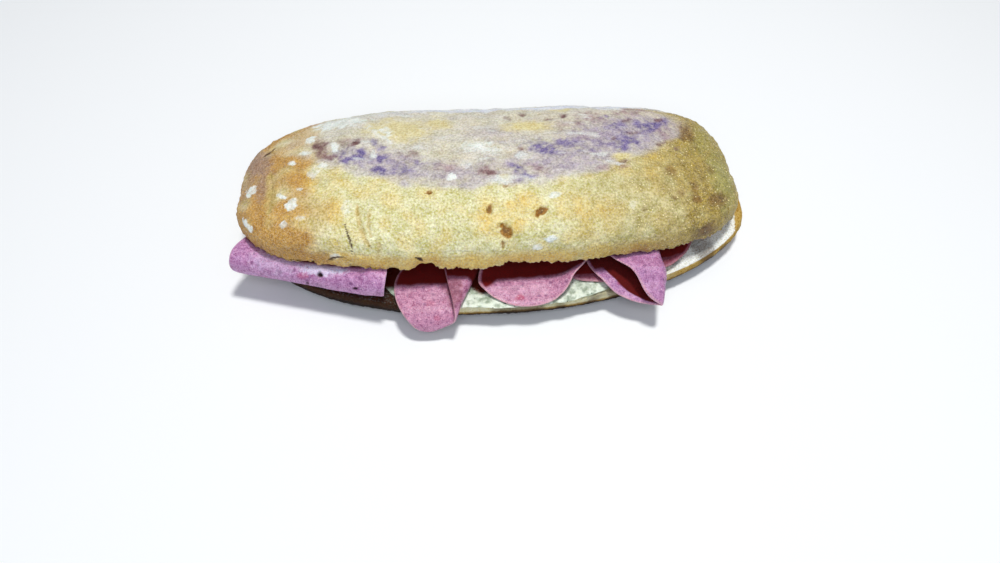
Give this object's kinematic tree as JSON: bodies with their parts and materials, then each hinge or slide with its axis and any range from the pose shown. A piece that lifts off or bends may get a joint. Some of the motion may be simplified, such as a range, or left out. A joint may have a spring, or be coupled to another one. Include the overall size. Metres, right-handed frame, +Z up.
{
  "type": "salami sandwich",
  "caption": "Long flat white-bread sandwich, slit lengthwise and open at the front, with folded salami slices and a white spread showing.",
  "frame": {"origin": "middle of the bounding box of the whole sandwich, at the level it rests on", "axes": "+X along the loaf to the right as seen from its open side, +Y from the open side towards the closed back, +Z up"},
  "size_m": [0.2492, 0.1225, 0.0512],
  "materials": {
    "crust": "blistered golden crust, partly floured",
    "spread": "moist white soft-cheese spread",
    "salami": "moist pink cured meat"
  },
  "bodies": {
    "root": {"bread_top": "crust", "bread_bottom": "crust", "spread": "spread", "salami_roll": "salami", "salami_tongue": "salami", "salami_arc": "salami", "salami_cone": "salami", "salami_under": "salami", "salami_right": "salami"}
  },
  "joints": []
}
